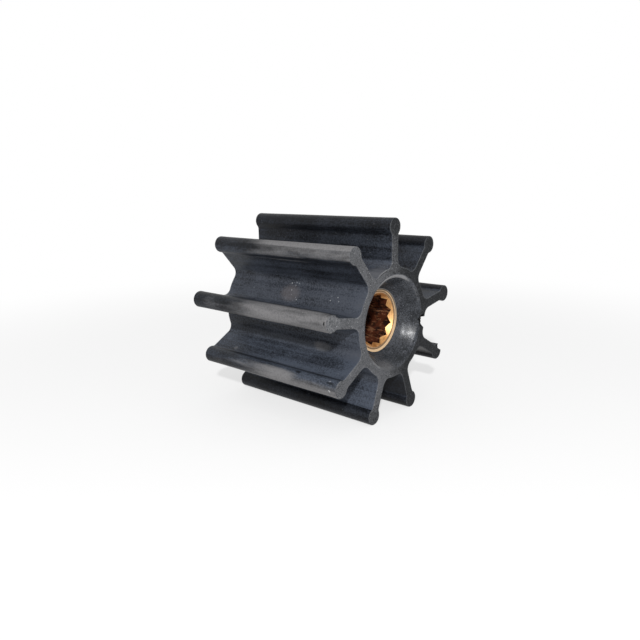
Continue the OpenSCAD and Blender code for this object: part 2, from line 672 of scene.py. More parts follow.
@dataclass(frozen=True)
class Finish:
    """What every finish has: a name, a grain, and a specular level, where 0.5 is that of plain plastic."""

    name: str = "plain"
    specular: float = 0.5
    grain: Grain = Grain(1000.0, 300.0, 1.0, 60.0)

    def layers(self, paint: Paint) -> dict[str, Any]:
        """Lays the coats of the base colour; each finish has its own.

        Args:
            paint: The material's graph.

        Returns:
            What feeds the shader's other inputs, by their names.
        """
        raise NotImplementedError

    def material(self, effects: Effects) -> Material:
        """Builds the material, with one Principled shader.

        Args:
            effects: The shared shader groups.

        Returns:
            The material.
        """
        made = bpy.data.materials.new(self.name)
        paint = Paint(emptied(made), effects, self.grain)
        fed = self.layers(paint)
        shader = paint.node("ShaderNodeBsdfPrincipled", {
            "Specular IOR Level": self.specular, "Base Color": paint.base, **fed})
        paint.node("ShaderNodeOutputMaterial", {"Surface": shader.outputs[0]})
        return made


@dataclass(frozen=True)
class MouldedRubber(Finish):
    """Dark rubber as it leaves the mould: satin, streaked along the vanes, pale where it has rubbed, and
    painted with light and shade: paler on the side that faces the lamp, darker on the far side and at the
    back.
    """

    name: str = "moulded_rubber"
    specular: float = 0.12
    grain: Grain = Grain(1400.0, 420.0, 26.0, 55.0)
    deep: Colour = tint(15, 16, 19)
    pale: Colour = tint(72, 78, 89)
    # Dust at the roots, laid thicker where the hub is painted lit.
    dusty_and_lit: Colour = tint(67, 69, 75)
    # Pale of rubbed beads, and of painted highlights and painted pools of light.
    rubbed_and_lit: Colour = tint(114, 113, 114)
    edge: Colour = tint(84, 86, 90)
    brown: Colour = tint(98, 94, 96)
    dark: Colour = tint(12, 13, 15)
    lint: Colour = tint(236, 238, 240)
    marks_and_light_pools: tuple[SmallSpot, ...] = ()

    def layers(self, paint: Paint) -> dict[str, Any]:
        """Lays bloom with painted light and shade, dust with painted light, rubbed beads with painted
        highlights, bare edges with painted edge highlights, the small marks with painted pools of light,
        torn places painted dark with their shade, and lint.

        Args:
            paint: The material's graph.

        Returns:
            What feeds the roughness and the normal.
        """
        clouds = paint.between(0.45, paint.streak, paint.cloud)
        fine = paint.span(paint.grain, 0.38, 0.62, -0.26, 0.26)
        uneven = paint.plus(paint.span(clouds, 0.36, 0.64, -0.26, 0.26), fine)
        # Ground colour by bloom and painted light: paler on the lamp's side, painted shade on the far side
        # and at the back.
        paint.ground(paint.bloomed_and_lit(uneven, 0.6, 0.38), self.deep, self.pale)
        thick = paint.plus(1.0, paint.times(uneven, 2.2))
        # Dust at the vanes' roots, thickest where painted light falls.
        paint.coat(paint.times(paint.mask("dust"), thick, clamp=True), self.dusty_and_lit)
        drawn_out = paint.vector("MULTIPLY", paint.at, (1.0, 0.12, 1.0))
        wisps = paint.between(0.3, paint.noise(drawn_out, 300.0, 4.0, 0.6), paint.cloud)
        # Rubbed beads, with painted highlights on them.
        worn = paint.patches("scuff", wisps, 1.2)
        paint.coat(paint.times(worn, paint.span(paint.grain, 0.3, 0.62, 0.72, 1.0)), self.rubbed_and_lit)
        # Pale edges: bare rubber and painted edge highlights.
        paint.coat(paint.times(paint.mask("edge"), 0.8), self.edge)
        paint.coat(self._spots(paint, Mark.SMUDGE), self.brown)
        # Pale spots, two of them painted pools of light.
        pale_spot_mottle = paint.span(clouds, 0.38, 0.58, 0.35, 1.0)
        paint.coat(paint.times(self._spots(paint, Mark.PALE), pale_spot_mottle), self.rubbed_and_lit)
        paint.coat(self._spots(paint, Mark.PIT), self.dark)
        # Torn places painted near-black: the torn rubber and the shade in the tears.
        paint.coat(paint.mask("torn"), self.dark)
        gathered = paint.times(paint.specks(1050.0, 0.3, 0.5), self._spots(paint, Mark.SPECKS))
        stray = paint.times(paint.specks(800.0, 0.03, 0.3), 0.1)
        paint.coat(paint.highest([gathered, stray]), self.lint)
        rough = paint.between(worn, paint.span(paint.streak, 0.3, 0.7, 0.36, 0.5), 0.68)
        height = paint.plus(paint.times(paint.streak, 0.7), paint.times(paint.grain, 0.3))
        return {"Roughness": paint.between(paint.mask("torn"), rough, 0.9),
                "Normal": paint.bump(height, 0.35, 0.08 * MM)}

    def _spots(self, paint: Paint, kind: Mark) -> NodeSocket:
        """Masks the spots of one kind, painted pools of light among the pale ones.

        Args:
            paint: The material's graph.
            kind: Which marks.

        Returns:
            The mask, which is each mark's strength at its middle.
        """
        spots = []
        for mark in self.marks_and_light_pools:
            if mark.kind is kind:
                inputs = {"Vector": paint.at, "Centre": mark.centre, "Reach": mark.reach}
                spots.append(paint.times(paint.effect(paint.effects.spot, inputs)["Mask"], mark.strength))
        return paint.highest(spots)


@dataclass(frozen=True)
class GroundRubber(Finish):
    """Rubber ground flat at the ends of the wheel: matt, paler, and finely speckled."""

    name: str = "ground_rubber"
    specular: float = 0.15
    grain: Grain = Grain(2200.0, 900.0, 1.0, 120.0)
    deep: Colour = tint(22, 24, 26)
    pale: Colour = tint(91, 92, 95)
    edge: Colour = tint(124, 125, 127)
    dark: Colour = tint(12, 13, 15)
    lint: Colour = tint(186, 188, 190)

    def layers(self, paint: Paint) -> dict[str, Any]:
        """Lays bloom with a painted falloff of light, bare edges with painted edge highlights, the mottle of
        the frayed bead, lint, and torn places painted dark with their shade.

        Args:
            paint: The material's graph.

        Returns:
            What feeds the roughness and the normal.
        """
        bloom, fray = paint.mask("bloom"), paint.mask("fray")
        fine = paint.span(paint.grain, 0.34, 0.66, -0.42, 0.42)
        uneven = paint.plus(fine, paint.span(paint.cloud, 0.34, 0.66, -0.12, 0.12))
        # Ground colour by bloom and a painted falloff of light: paler to the left, darker at the top and the
        # lowest vanes.
        paint.ground(paint.bloomed_and_lit(uneven, 0.7, 0.45), self.deep, self.pale)
        # Pale edges: bare rubber and painted edge highlights.
        edge_wear_and_highlight = paint.times(paint.mask("edge"), paint.span(paint.grain, 0.38, 0.6, 0.3, 1.3))
        paint.coat(paint.times(edge_wear_and_highlight, paint.span(bloom, 0.0, 0.6, 0.3, 1.0)), self.edge)
        paint.coat(paint.times(fray, paint.span(paint.streak, 0.44, 0.64, 0.0, 0.65)), self.edge)
        scattered = paint.span(bloom, 0.0, 0.8, 0.25, 0.8)
        paint.coat(paint.times(paint.specks(1500.0, 0.09, 0.42), scattered), self.lint)
        # Torn places painted near-black: the torn rubber and the shade in the tears.
        paint.coat(paint.mask("torn"), self.dark)
        height = paint.between(fray, paint.grain, paint.streak)
        return {"Roughness": paint.span(paint.cloud, 0.3, 0.7, 0.66, 0.8),
                "Normal": paint.bump(height, 0.5, 0.15 * MM)}


@dataclass(frozen=True)
class DishRubber(Finish):
    """Rubber moulded against a turned core: smooth, with fine rings that break its shine into dashes."""

    name: str = "dish_rubber"
    specular: float = 0.26
    grain: Grain = Grain(1900.0, 500.0, 1.0, 110.0)
    deep: Colour = tint(21, 24, 28)
    pale: Colour = tint(66, 69, 75)
    dusty_and_lit: Colour = tint(93, 93, 95)
    # Pale of the rubbed lip and of its painted highlight.
    rubbed_and_lit: Colour = tint(122, 122, 124)
    dark: Colour = tint(10, 11, 13)
    lint: Colour = tint(130, 133, 140)
    polished_from: float = 16.4 * MM

    def layers(self, paint: Paint) -> dict[str, Any]:
        """Lays a mottle, lint, dust on the lower wall, the rubbed lip with its painted highlight, and torn
        places painted dark with their shade.

        Args:
            paint: The material's graph.

        Returns:
            What feeds the roughness, which is dull at the wall's foot, and the normal.
        """
        mottle = paint.between(0.6, paint.cloud, paint.grain)
        paint.ground(paint.span(mottle, 0.41, 0.59), self.deep, self.pale)
        paint.coat(paint.times(paint.specks(1100.0, 0.08, 0.4), 0.7), self.lint)
        paint.coat(paint.times(paint.mask("dust"), paint.span(mottle, 0.38, 0.62, 0.7, 1.0)), self.dusty_and_lit)
        # The lip: rubbed wear, and a painted highlight where it catches the light.
        worn = paint.patches("lip", paint.streak, 0.9)
        paint.coat(worn, self.rubbed_and_lit)
        # Torn places painted near-black: the torn rubber and the shade in the tears.
        paint.coat(paint.mask("torn"), self.dark)
        polished_whole = self.polished_from + 1.0 * MM
        dull = paint.span(paint.radius(paint.at), self.polished_from, polished_whole, 0.34, 0.0)
        rough = paint.plus(paint.span(paint.streak, 0.35, 0.65, 0.24, 0.38), dull)
        rough = paint.between(worn, rough, 0.6)
        height = paint.plus(paint.times(paint.rings(1500.0, 0.6 * MM), 0.5), paint.times(paint.grain, 0.5))
        return {"Roughness": paint.between(paint.mask("torn"), rough, 0.9),
                "Normal": paint.bump(height, 0.7, 0.16 * MM)}


@dataclass(frozen=True)
class TurnedBrass(Finish):
    """Bright brass with fine turned lines on its faces and cones, paler and pinker on its rim."""

    name: str = "turned_brass"
    grain: Grain = Grain(2600.0, 900.0, 1.0, 260.0)
    deep: Colour = tint(186, 132, 78)
    pale: Colour = tint(234, 186, 128)
    rim: Colour = tint(220, 188, 148)
    line: Colour = tint(112, 88, 66)
    face: Colour = tint(176, 150, 124)
    stain: Colour = tint(104, 80, 58)
    # Painted reflection of the dark rubber in one side of the rim.
    dark_reflection: Colour = tint(70, 66, 62)
    # Painted highlight on the rim's outer edge, on that side.
    edge: Colour = tint(134, 138, 142)
    blur: float = 0.1 * MM
    face_from: float = 12.9 * MM
    rim_from: float = 13.65 * MM
    line_half: float = 0.15 * MM
    dark_reflection_from: float = 14.0 * MM
    dark_reflection_whole: float = 14.35 * MM
    edge_from: float = 14.75 * MM
    dark_reflection_bearing: float = radians(55)

    def layers(self, paint: Paint) -> dict[str, Any]:
        """Lays the face, the rim, the dark line between them, a painted dark reflection on one side of the
        rim with a painted highlight on its outer edge, and stains.

        Args:
            paint: The material's graph.

        Returns:
            What feeds the roughness, the metallic share and the normal.
        """
        radius, ring = paint.radius(paint.at), paint.rings(5200.0, 0.05 * MM)
        paint.ground(paint.span(paint.between(0.5, ring, paint.cloud), 0.36, 0.62), self.deep, self.pale)
        paint.coat(paint.span(radius, self.face_from - self.blur, self.face_from, 0.0, 0.8), self.face)
        paint.coat(paint.span(radius, self.rim_from - self.blur, self.rim_from, 0.0, 0.9), self.rim)
        outer = self.rim_from + self.line_half
        inner = self.rim_from - self.line_half
        groove_line = paint.times(paint.span(radius, inner - self.line_half, inner),
                             paint.span(radius, outer + self.line_half, outer, 0.0, 0.7))
        paint.coat(groove_line, self.line)
        # A painted dark reflection on the side of the rim towards dark_reflection_bearing, and a painted
        # highlight on its outer edge there.
        direction = (cos(self.dark_reflection_bearing), 0.0, sin(self.dark_reflection_bearing))
        turned = paint.sum("DIVIDE", paint.measure("DOT_PRODUCT", paint.at, direction), radius)
        dark_reflection = paint.times(paint.span(turned, 0.1, 0.95),
                            paint.span(radius, self.dark_reflection_from, self.dark_reflection_whole))
        paint.coat(paint.times(dark_reflection, 0.85), self.dark_reflection)
        outermost = paint.span(radius, self.edge_from, self.edge_from + self.blur)
        paint.coat(paint.times(paint.times(dark_reflection, outermost), 0.8), self.edge)
        paint.coat(paint.span(paint.streak, 0.58, 0.72, 0.0, 0.5), self.stain)
        height = paint.plus(paint.times(ring, 0.8), paint.times(paint.grain, 0.2))
        return {"Roughness": paint.span(paint.cloud, 0.3, 0.7, 0.42, 0.54),
                "Metallic": paint.span(radius, self.rim_from - self.blur, self.rim_from, 1.0, 0.45),
                "Normal": paint.bump(height, 0.3, 0.03 * MM)}


@dataclass(frozen=True)
class BroachedBrass(Finish):
    """The bore's teeth: brass painted dark brown for the shade in the bore, with bright lines along it as
    painted glints.
    """

    name: str = "broached_brass"
    specular: float = 0.3
    grain: Grain = Grain(2600.0, 1000.0, 5.0, 300.0)
    deep: Colour = tint(34, 15, 8)
    pale: Colour = tint(84, 42, 24)
    glint: Colour = tint(216, 156, 116)

    def layers(self, paint: Paint) -> dict[str, Any]:
        """Lays the dark brown of painted shade and the painted glints.

        Args:
            paint: The material's graph.

        Returns:
            What feeds the roughness, the metallic share and the normal.
        """
        # Bright lines along Y: painted glints on the teeth.
        glint_lines = paint.span(paint.streak, 0.55, 0.615)
        # Dark brown ground: the bore's painted shade.
        paint.ground(paint.span(paint.cloud, 0.38, 0.62), self.deep, self.pale)
        paint.coat(glint_lines, self.glint)
        return {"Roughness": paint.span(paint.streak, 0.35, 0.65, 0.6, 0.38),
                "Metallic": paint.between(glint_lines, 0.25, 0.9),
                "Normal": paint.bump(paint.streak, 0.5, 0.05 * MM)}


@dataclass
class VaneSection:
    """The wheel's section: a round hub and evenly spaced vanes, each with a round bead at its tip."""

    tip_radius: float
    vane_count: int = 9
    hub_radius: float = 25.7 * MM
    bead_radius: float = 4.0 * MM
    vane_half: float = 2.4 * MM
    neck_radius: float = 2.0 * MM
    root_radius: float = 4.0 * MM
    hub_steps: int = 9
    root_steps: int = 8
    flank_steps: int = 10
    neck_steps: int = 5
    bead_steps: int = 14

    @property
    def bead_circle(self) -> float:
        """Radius of the circle on which the beads' centres lie."""
        return self.tip_radius - self.bead_radius

    def half_path(self) -> tuple[Curve, Array]:
        """Half of a vane that points along the second axis, from the gap's middle to the tip.

        It is an arc of the hub, a hollow fillet, the straight flank, a hollow neck and an arc of the bead.

        Returns:
            The path, and for each point whether it is on the bead.
        """
        root_x = self.vane_half + self.root_radius
        root_y = sqrt((self.hub_radius + self.root_radius) ** 2 - root_x**2)
        neck_x = self.vane_half + self.neck_radius
        drop = sqrt((self.bead_radius + self.neck_radius) ** 2 - neck_x**2)
        neck_y = self.bead_circle - drop
        root_bearing, neck_bearing = atan2(root_y, root_x), atan2(drop, neck_x)
        gap_middle = pi / 2 - pi / self.vane_count
        flank_y = np.linspace(root_y, neck_y, self.flank_steps, endpoint=False)
        flank = np.stack([np.full_like(flank_y, self.vane_half), flank_y], axis=1)
        path = Curve.join([
            Curve.arc((0, 0), self.hub_radius, gap_middle, root_bearing, self.hub_steps),
            Curve.arc((root_x, root_y), self.root_radius, pi + root_bearing, pi, self.root_steps, True),
            Curve(flank, np.tile([1.0, 0.0], (self.flank_steps, 1))),
            Curve.arc((neck_x, neck_y), self.neck_radius, pi, pi - neck_bearing, self.neck_steps, True),
            Curve.arc((0, self.bead_circle), self.bead_radius, -neck_bearing, pi / 2, self.bead_steps),
            Curve(np.array([[0.0, self.tip_radius]]), np.array([[0.0, 1.0]])),
        ])
        return path, np.arange(len(path.points)) >= len(path.points) - self.bead_steps - 1

    def outline(self) -> tuple[Curve, Array]:
        """The whole outline against the clock, seen from the front, from the gap beside the top vane on.

        Each vane is its half path and then that path's mirror image backwards.

        Returns:
            The outline, and for each point whether it is on a bead.
        """
        half, on_bead = self.half_path()
        mirror, back = np.array([-1.0, 1.0]), slice(-2, 0, -1)
        cell = Curve.join([half, Curve(half.points[back] * mirror, half.normals[back] * mirror)])
        bearing = pi / 2 + np.arange(self.vane_count) * FULL_TURN / self.vane_count
        out = np.stack([np.cos(bearing), np.sin(bearing)], axis=1)[:, None]
        side = np.stack([np.sin(bearing), -np.cos(bearing)], axis=1)[:, None]

        def turned(local: Array) -> Array:
            """Lays a vane's own coordinates along every vane."""
            return (local[None, :, 1:] * out + local[None, :, :1] * side).reshape(-1, 2)

        beads = np.tile(np.concatenate([on_bead, on_bead[back]]), self.vane_count)
        return Curve(turned(cell.points), turned(cell.normals)), beads


@dataclass(frozen=True)
class Weathering:
    """What the mould, the pump and the air have done to the wheel, and where, and the light and shade
    painted onto it.

    The spans shade_to_back, light_at_front and haze_and_light_length run from -1 at the back end to 1 at the
    front end. A span of a spread is one of cosines, and every other span is one of lengths.
    """

    tears: tuple[Tear, ...] = ()
    scuffs_and_highlights: tuple[ScuffAndHighlight, ...] = ()
    hazes_and_light: tuple[HazeAndLight, ...] = ()
    lip_wear_and_sheen: tuple[LipWearAndSheen, ...] = ()
    waviness: float = 0.07 * MM
    wavy_from_end: Fade = Fade(0.0, 6 * MM)
    relief: float = 0.03 * MM
    relief_depth: Fade = Fade(1 * MM, 0.0)
    torn_depth: Fade = Fade(0.2 * MM, 1.0 * MM)
    torn_length: Fade = Fade(5 * MM, 4 * MM)
    # Paleness of the edges: bare rubber and painted edge highlights.
    bare_edge_and_highlight: float = 0.55
    frayed_bearing: float = radians(170)
    frayed_spread: Fade = Fade(0.97, 0.99)
    side_fray: float = 0.35 * MM
    side_fray_depth: Fade = Fade(2.2 * MM, 0.4 * MM)
    end_fray: float = 0.5 * MM
    end_fray_reach: Fade = Fade(5.5 * MM, 3.3 * MM)
    end_mottle_reach: Fade = Fade(6 * MM, 3.5 * MM)
    flash_height: float = 0.3 * MM
    flash_bearing: float = radians(110)
    flash_spread: Fade = Fade(cos(radians(9)), cos(radians(6)))
    flash_depth: Fade = Fade(0.8 * MM, 0.3 * MM)
    # Painted light and shade in the bloom: surfaces that face lit_facing are painted paler, the far side
    # (+X) and the back darker.
    lit_facing: float = radians(130)
    lit_spread: Fade = Fade(0.5, 0.88)
    far_side_shade: Fade = Fade(-14 * MM, 6 * MM)
    far_side_deep_shade: Fade = Fade(0.0, 12 * MM)
    shade_to_back: Fade = Fade(-1.0, 0.6)
    light_at_front: Fade = Fade(0.66, 1.0)
    root: Fade = Fade(31 * MM, 26 * MM)
    bead_foot: float = 39 * MM
    vane_spread: float = 0.97
    haze_and_light_spread: Fade = Fade(0.97, 0.985)
    haze_and_light_facing: Fade = Fade(0.6, 0.9)
    haze_and_light_length: Fade = Fade(-1.0, 1.0)
    # Bloom of the ends, with a painted falloff of the lamp's light from the left to the right.
    end_left: Fade = Fade(-12 * MM, 13 * MM)
    end_top: Fade = Fade(34 * MM, 44 * MM)
    end_top_side: Fade = Fade(-20 * MM, -6 * MM)
    end_low: Fade = Fade(31 * MM, 41 * MM)
    dust_bearing: float = radians(-130)
    dust_spread: Fade = Fade(cos(radians(48)), cos(radians(30)))
    dust_on_wall: Fade = Fade(16.6 * MM, 20.2 * MM)
    dust_on_lip: Fade = Fade(20.3 * MM, 21.6 * MM)

    def flash(self, bearing: Array) -> Array:
        """Share of the thin flash at each bearing, along the hub's front edge."""
        return self.flash_spread.around(self.flash_bearing, bearing)

    def end_bloom_and_falloff(self, x: Array, z: Array) -> Array:
        """Bloom of the ends with a painted falloff of the lamp's light: it falls from the left to the right,
        and at the top and the lowest vanes.
        """
        top = self.end_top.at(z) * self.end_top_side.at(x)
        return 0.05 + 0.8 * self.end_left.at(-x) * (1 - top) * (1 - 0.65 * self.end_low.at(-z))

    def lip(self, bearing: Array) -> Array:
        """How pale the dish's lip is painted, by rubbing and a painted highlight: at each bearing the
        highest of its stretches.

        Args:
            bearing: The bearings.

        Returns:
            Values from 0 to 1, in the shape of bearing.
        """
        return np.max([
            wear.strength * Fade(cos(wear.spread), cos(0.2 * wear.spread)).around(wear.bearing, bearing)
            for wear in self.lip_wear_and_sheen], axis=0)

    def wall_dust(self, bearing: Array, radius: Array) -> Array:
        """Dust on one side of the dish's wall: it grows towards the lip, and is half as thick on it."""
        on_wall = self.dust_on_wall.at(radius) * (1 - 0.5 * self.dust_on_lip.at(radius))
        return on_wall * self.dust_spread.around(self.dust_bearing, bearing)


@dataclass
class RubberBody:
    """The moulded wheel: the section carried along Y, ground ends, a dish in each, and the bonded bore."""

    section: VaneSection
    half_length: float
    insert_radius: float
    insert_half: float
    wear: Weathering
    edge_radius: float = 0.18 * MM
    clearance: float = 0.006 * MM
    dish_radius: float = 21.3 * MM
    dish_ledge: float = 0.4 * MM
    lip_radius: float = 2.2 * MM
    rib_count: int = 3
    rib_half: float = 2.0 * MM
    rib_height: float = 0.8 * MM
    edge_rows: int = 5
    close_rows: int = 13
    close_rows_to: float = 4.5 * MM
    wide_rows: int = 40
    last_rows: Point = mm(2.0, 1.0, 0.5)
    across_steps: int = 10
    ring_steps: int = 9
    ring_crowding: float = 1.3
    lip_steps: int = 12
    wall_steps: int = 13

    def stations(self) -> tuple[Array, Array]:
        """Where along Y the section is repeated, and how far it is drawn in there.

        A quarter circle rounds each end; the rows stand close together over the front, where it is worn.

        Returns:
            The places along Y, and the insets.
        """
        whole = 2 * self.half_length
        turn = np.linspace(0, pi / 2, self.edge_rows)
        climb = self.edge_radius * (1 - np.cos(turn))
        inset = self.edge_radius * (1 - np.sin(turn))
        close = np.linspace(self.edge_radius, self.close_rows_to, self.close_rows)[1:]
        wide = np.linspace(self.close_rows_to, whole - self.last_rows[0], self.wide_rows)[1:]
        last = whole - np.array(self.last_rows[1:])
        depth = np.concatenate([climb, close, wide, last, whole - climb[::-1]])
        plain = np.zeros(len(close) + len(wide) + len(last))
        return depth - self.half_length, np.concatenate([inset, plain, inset[::-1]])

    def from_frayed(self, grid: Array) -> Array:
        """Distance of each point from the line through the middle of the frayed bead."""
        out, bearing = self.section.bead_circle, self.wear.frayed_bearing
        return np.hypot(grid[..., 0] - out * cos(bearing), grid[..., 2] - out * sin(bearing))

    def sweep(self) -> tuple[Array, dict[str, Array]]:
        """The outer surface, before its ends are torn.

        A point is the outline's less its normal times how far it is drawn in: the inset, the clearance,
        a shallow waviness away from the ends and the fraying of one bead's end, less the flash.

        Returns:
            The grid, with a row for each station, and its masks.
        """
        wear = self.wear
        outline, on_bead = self.section.outline()
        along, inset = self.stations()
        grid = np.empty((len(along), len(on_bead), 3))
        grid[..., 0], grid[..., 2] = outline.points[:, 0], outline.points[:, 1]
        grid[..., 1] = along[:, None]
        from_front = along + self.half_length
        inside = wear.wavy_from_end.at(self.half_length - np.abs(along))[:, None]
        front = wear.side_fray_depth.at(from_front)[:, None]
        edge = wear.flash_depth.at(from_front)[:, None]
        frayed = on_bead * wear.frayed_spread.around(wear.frayed_bearing, outline.bearing)
        flash = wear.flash(outline.bearing)
        drawn = inset[:, None] + self.clearance
        drawn = drawn + wear.waviness * inside * swell(grid, mm(9, 45, 9), 3)
        drawn = drawn + wear.side_fray * front * frayed * swell(grid, mm(1.6, 1.6, 1.6), 11)
        drawn = drawn - wear.flash_height * flash * edge
        grid[..., 0] -= drawn * outline.normals[:, 0]
        grid[..., 2] -= drawn * outline.normals[:, 1]
        # Pale edges: bare rubber and painted edge highlights; on the flash, its painted highlight.
        edge_wear_and_highlight = wear.bare_edge_and_highlight + (1 - wear.bare_edge_and_highlight) * flash * ~on_bead - 0.4 * frayed
        # Bloom and dust, with painted light and shade in both.
        bloom, dust = self.bloomed_and_lit(outline, on_bead, along)
        return grid, {"edge": (inset > 0.05 * self.edge_radius)[:, None] * edge_wear_and_highlight, "fray": front * frayed,
                      "scuff": self.rubbed_and_lit(outline, along), "bloom": bloom, "dust": dust}

    def bloomed_and_lit(self, outline: Curve, on_bead: Array, along: Array) -> tuple[Array, Array]:
        """How pale the outer surface is painted, by bloom with painted light and shade, and how much dust
        lies at the vanes' roots, with painted light.

        Surfaces that face lit_facing and the roots are palest, as painted light; the far side and the back
        are darker, as painted shade. Each haze, with its painted light, is laid over that where it is paler.

        Args:
            outline: The section.
            on_bead: Whether each of its points is on a bead.
            along: The stations.

        Returns:
            Both as values from 0 to 1, one for each point of the outer surface.
        """
        wear, x, out = self.wear, outline.points[:, 0], np.hypot(*outline.points.T)
        root, far_side = wear.root.at(out), wear.far_side_shade.at(x)
        shown = wear.lit_spread.around(wear.lit_facing, outline.facing)
        shown = shown * ~on_bead * (1 - 0.73 * far_side)
        shown = np.maximum(shown, 0.6 * root * (1 - 0.7 * far_side))
        # Painted shade: least falls on the far side, and nearer darkens towards the back.
        least = 0.15 * (1 - 0.9 * wear.far_side_deep_shade.at(x))
        forward = -along / self.half_length
        nearer = 0.5 + 0.12 * wear.shade_to_back.at(forward) + 0.38 * wear.light_at_front.at(forward)
        bloom = (least + (1 - least) * shown) * nearer[:, None]
        for haze_and_light in wear.hazes_and_light:
            side = wear.haze_and_light_spread.around(haze_and_light.bearing, outline.bearing) * (out > haze_and_light.inner)
            side = side * (1 - 0.35 * on_bead)
            side = side * wear.haze_and_light_facing.around(haze_and_light.facing, outline.facing)
            level = haze_and_light.back + (haze_and_light.front - haze_and_light.back) * wear.haze_and_light_length.at(forward)
            bloom = np.maximum(bloom, side * level[:, None])
        return bloom, 0.5 * root * bloom

    def rubbed_and_lit(self, outline: Curve, along: Array) -> Array:
        """How pale the outer surface is painted by rubbing and painted highlights: at each point the highest
        of the stretches that reach it.

        Each scuff is a product of two rises: of the cosine between where the surface and the scuff's
        middle face, and of the place along Y.

        Args:
            outline: The section.
            along: The stations.

        Returns:
            Values from 0 to 1, one for each point of the outer surface.
        """
        near_tip = np.hypot(*outline.points.T) > self.wear.bead_foot
        total = np.zeros((len(along), len(near_tip)))
        for scuff in self.wear.scuffs_and_highlights:
            own = near_tip * (np.cos(outline.bearing - scuff.vane_bearing) > self.wear.vane_spread)
            spread = Fade(cos(scuff.spread), cos(0.5 * scuff.spread))
            turn = spread.around(scuff.facing, outline.facing)
            run = ease(along, scuff.start, scuff.start + scuff.fade / 3)
            run = run * ease(along, scuff.stop, scuff.stop - scuff.fade)
            total = np.maximum(total, scuff.strength * (own * turn) * run[:, None])
        return total

    def worn(self, grid: Array) -> tuple[Array, Array]:
        """Moves points near the ends: the front by tears and fraying, both ends by a fine relief.

        The shift fades out along Y over three times its own depth, or over 1 mm where it is shallow.

        Args:
            grid: Points of any of the piece's surfaces.

        Returns:
            The moved points, and how deeply each is torn, from 0 to 1.
        """
        wear, flat = self.wear, grid * ACROSS_AXIS
        torn = np.max([tear.depth_at(grid[..., 0], grid[..., 2]) for tear in wear.tears], axis=0)
        relief = self.clearance + wear.relief * np.clip(1 + ripple(flat, mm(2.2, 2.2, 2.2), 21), 0, None)
        frayed = wear.end_fray_reach.at(self.from_frayed(grid))
        shift = torn + relief + wear.end_fray * frayed * swell(flat, mm(1.5, 1.5, 1.5), 5)
        from_front = grid[..., 1] + self.half_length
        share = 1 - np.clip(from_front / np.maximum(3 * shift, 1 * MM), 0, 1)
        share = np.where(torn < 0.1 * MM, share * wear.relief_depth.at(from_front), share)
        moved = grid.copy()
        moved[..., 1] += shift * share
        moved[..., 1] -= relief * wear.relief_depth.at(self.half_length - grid[..., 1])
        return moved, wear.torn_depth.at(torn) * wear.torn_length.at(from_front)

    def end_faces(self, skin: Skin, outer: Array, front: bool) -> Array:
        """Closes one end: a strip across each vane, and a ring from the hub's edge to the dish.

        A strip's points lie evenly between the two sides of the vane. The ring's lie between the hub's
        edge and the circle of the lip on the same bearing, closer together near the edge.

        Args:
            skin: The skin to add to.
            outer: The outer surface, before wear.
            front: Whether it is the front end.

        Returns:
            The bearings of the ring's points.
        """
        section, wear = self.section, self.wear
        cells = outer[0 if front else -1].reshape(section.vane_count, -1, 3)
        half = len(section.half_path()[0].points)
        share = np.linspace(0, 1, self.across_steps + 1)
        border = wear.bare_edge_and_highlight * ((share == 0) | (share == 1))
        loops = []
        for cell in cells:
            right, left = cell[section.hub_steps:half], cell[::-1][section.hub_steps - 1:half - 1]
            left = np.concatenate([left[:len(right) - 1], right[-1:]])
            strip = right[:, None] * (1 - share[None, :, None]) + left[:, None] * share[None, :, None]
            edge_wear_and_highlight = np.tile(border, (len(strip), 1))
            edge_wear_and_highlight[-1] = wear.bare_edge_and_highlight
            moved, torn = self.worn(strip)
            masks = self.end_masks(moved, torn, edge_wear_and_highlight)
            skin.add(moved, WheelSurface.GROUND, flip=front, masks=masks)
            loops += [cell[:section.hub_steps], strip[0], cell[::-1][:section.hub_steps - 1][::-1]]
        loop = np.concatenate(loops)
        bearing = np.arctan2(loop[:, 2], loop[:, 0])
        lip = self.lip_face_radius
        inner = np.stack([lip * np.cos(bearing), loop[:, 1], lip * np.sin(bearing)], axis=1)
        step = (np.linspace(0, 1, self.ring_steps + 1) ** self.ring_crowding)[:, None, None]
        ring = loop[None] * (1 - step) + inner[None] * step
        moved, torn = self.worn(ring)
        off_hub = np.abs(np.hypot(loop[:, 0], loop[:, 2]) - section.hub_radius)
        flash = wear.flash(bearing) * front
        # Pale edge rows: bare rubber and painted edge highlights. Along the flash, row 1 is a painted
        # highlight.
        edge_wear_and_highlight = np.zeros(ring.shape[:2])
        edge_wear_and_highlight[0] = (off_hub <= 1.2 * self.edge_radius) * (wear.bare_edge_and_highlight + (1 - wear.bare_edge_and_highlight) * flash)
        edge_wear_and_highlight[1] = flash
        # Painted shadow line along the flash, on row 2, carried by the torn mask.
        torn[2] = np.maximum(torn[2], 0.8 * flash)
        masks = self.end_masks(moved, torn, edge_wear_and_highlight)
        skin.add(moved, WheelSurface.GROUND, wrap=True, flip=not front, masks=masks)
        return bearing

    def end_masks(self, moved: Array, torn: Array, edge_wear_and_highlight: Array) -> dict[str, Array]:
        """Masks of a part of an end face.

        Args:
            moved: Its points, after wear.
            torn: How torn each is.
            edge_wear_and_highlight: How pale its edges are, by wear and painted highlights.

        Returns:
            The masks, by name.
        """
        fray = self.wear.end_mottle_reach.at(self.from_frayed(moved))
        bloom = self.wear.end_bloom_and_falloff(moved[..., 0], moved[..., 2])
        return {"edge": edge_wear_and_highlight * (1 - 0.7 * fray), "torn": torn, "fray": fray, "bloom": bloom}

    @property
    def wall(self) -> tuple[float, float]:
        """Radius at the foot of the dish's wall, and the wall's tilt from the end face."""
        foot = self.insert_radius + self.dish_ledge
        return foot, atan2(self.half_length - self.insert_half, self.dish_radius - foot)

    @property
    def lip_face_radius(self) -> float:
        """Radius at which the end face begins to round into the dish."""
        return self.dish_radius + self.lip_radius * tan(self.wall[1] / 2)

